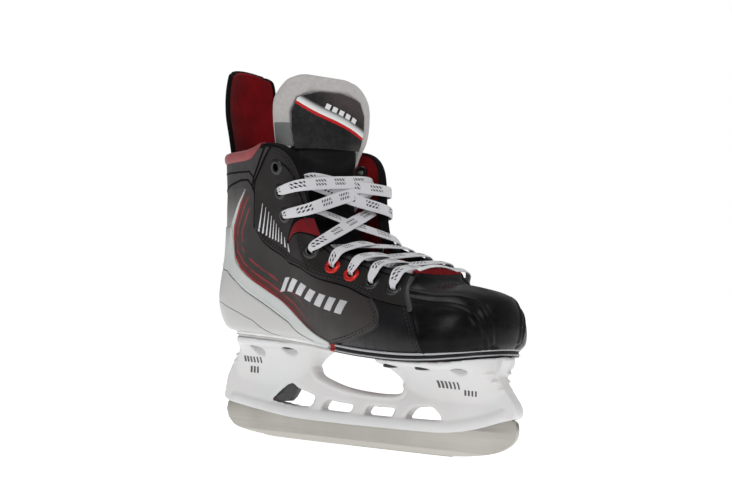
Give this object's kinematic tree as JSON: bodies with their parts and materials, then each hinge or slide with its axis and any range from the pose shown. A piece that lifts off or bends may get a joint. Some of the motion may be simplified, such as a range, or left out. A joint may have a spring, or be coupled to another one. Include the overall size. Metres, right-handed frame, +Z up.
{
  "type": "hockey skate",
  "caption": "Laced ice hockey skate, right foot: stitched boot with toe cap and tall tongue on a blade holder with a trigger-released steel runner.",
  "frame": {"origin": "on the ice under the middle of the runner's flat edge", "axes": "+X heel to toe, +Y to the inner side of the foot, +Z up"},
  "size_m": [0.2411, 0.099, 0.2445],
  "materials": {
    "steel": "ground satin",
    "holder_plastic": "moulded, semi-gloss",
    "trigger_plastic": "moulded, satin",
    "outsole_plastic": "moulded, satin",
    "board": "pressed fibre board",
    "footbed_foam": "felted foam",
    "quarter_grey": "coated synthetic, satin",
    "facing_charcoal": "coated synthetic, satin",
    "white_panel": "coated synthetic, satin",
    "collar_fabric": "brushed binding",
    "toe_plastic": "moulded, semi-gloss",
    "red_lining": "brushed microfibre",
    "tongue_black": "woven nylon",
    "white_felt": "wool felt",
    "badge_black": "moulded patch, satin",
    "lace_white": "woven cotton, waxed",
    "eyelet_black": "enamelled",
    "eyelet_red": "enamelled"
  },
  "bodies": {
    "boot": {"holder": "holder_plastic", "trigger_pin": "steel", "trigger_spring": "steel", "outsole": "outsole_plastic", "insole_board": "board", "footbed": "footbed_foam", "lateral_quarter": "quarter_grey", "medial_quarter": "quarter_grey", "heel_counter": "white_panel", "collar_band": "collar_fabric", "lateral_facing": "facing_charcoal", "medial_facing": "facing_charcoal", "toe_cap": "toe_plastic", "liner": "red_lining", "lateral_ankle_pad": "red_lining", "medial_ankle_pad": "red_lining", "tongue": "tongue_black", "lace": "lace_white", "lateral_eyelet_1": "eyelet_black", "lateral_eyelet_2": "eyelet_black", "lateral_eyelet_3": "eyelet_black", "lateral_eyelet_4": "eyelet_black", "lateral_eyelet_5": "eyelet_red", "lateral_eyelet_6": "eyelet_red", "lateral_eyelet_7": "eyelet_black", "lateral_eyelet_8": "eyelet_black", "medial_eyelet_1": "eyelet_black", "medial_eyelet_2": "eyelet_black", "medial_eyelet_3": "eyelet_black", "medial_eyelet_4": "eyelet_black", "medial_eyelet_5": "eyelet_black", "medial_eyelet_6": "eyelet_black", "medial_eyelet_7": "eyelet_black", "medial_eyelet_8": "eyelet_black", "front_rivet_medial_1": "steel", "front_rivet_medial_2": "steel", "front_rivet_medial_3": "steel", "front_rivet_lateral_1": "steel", "front_rivet_lateral_2": "steel", "front_rivet_lateral_3": "steel", "rear_rivet_medial_1": "steel", "rear_rivet_medial_2": "steel", "rear_rivet_lateral_1": "steel", "rear_rivet_lateral_2": "steel"},
    "runner": {"runner": "steel"},
    "trigger": {"trigger": "trigger_plastic"},
    "tongue_flap": {"tongue_top": "white_felt", "tongue_badge": "badge_black"},
    "tendon_guard": {"tendon_guard": "toe_plastic", "tendon_guard_lining": "red_lining"}
  },
  "joints": [
    {"name": "runner_release", "type": "slide", "parent": "boot", "child": "runner", "axis": [0, 0, -1], "range_m": [0, 0.006]},
    {"name": "trigger_pull", "type": "hinge", "parent": "boot", "child": "trigger", "pos_m": [-0.072, 0, 0.031], "axis": [0, 1, 0], "range_deg": [0, 18.2], "stiffness_Nm_per_rad": 0.35, "springref_deg": -20.05, "deforming": ["trigger_spring"]},
    {"name": "tongue_flex", "type": "hinge", "parent": "boot", "child": "tongue_flap", "pos_m": [-0.0362, 0, 0.1884], "axis": [0.2419, 0.9703, 0], "range_deg": [0, 45], "stiffness_Nm_per_rad": 0.2},
    {"name": "tendon_guard_flex", "type": "hinge", "parent": "boot", "child": "tendon_guard", "pos_m": [-0.1125, 0, 0.1855], "axis": [0, -1, 0], "range_deg": [0, 20], "stiffness_Nm_per_rad": 2}
  ],
  "couplings": [
    {"joint": "trigger_pull", "follows": "runner_release", "rad_per_m": 52.36}
  ]
}
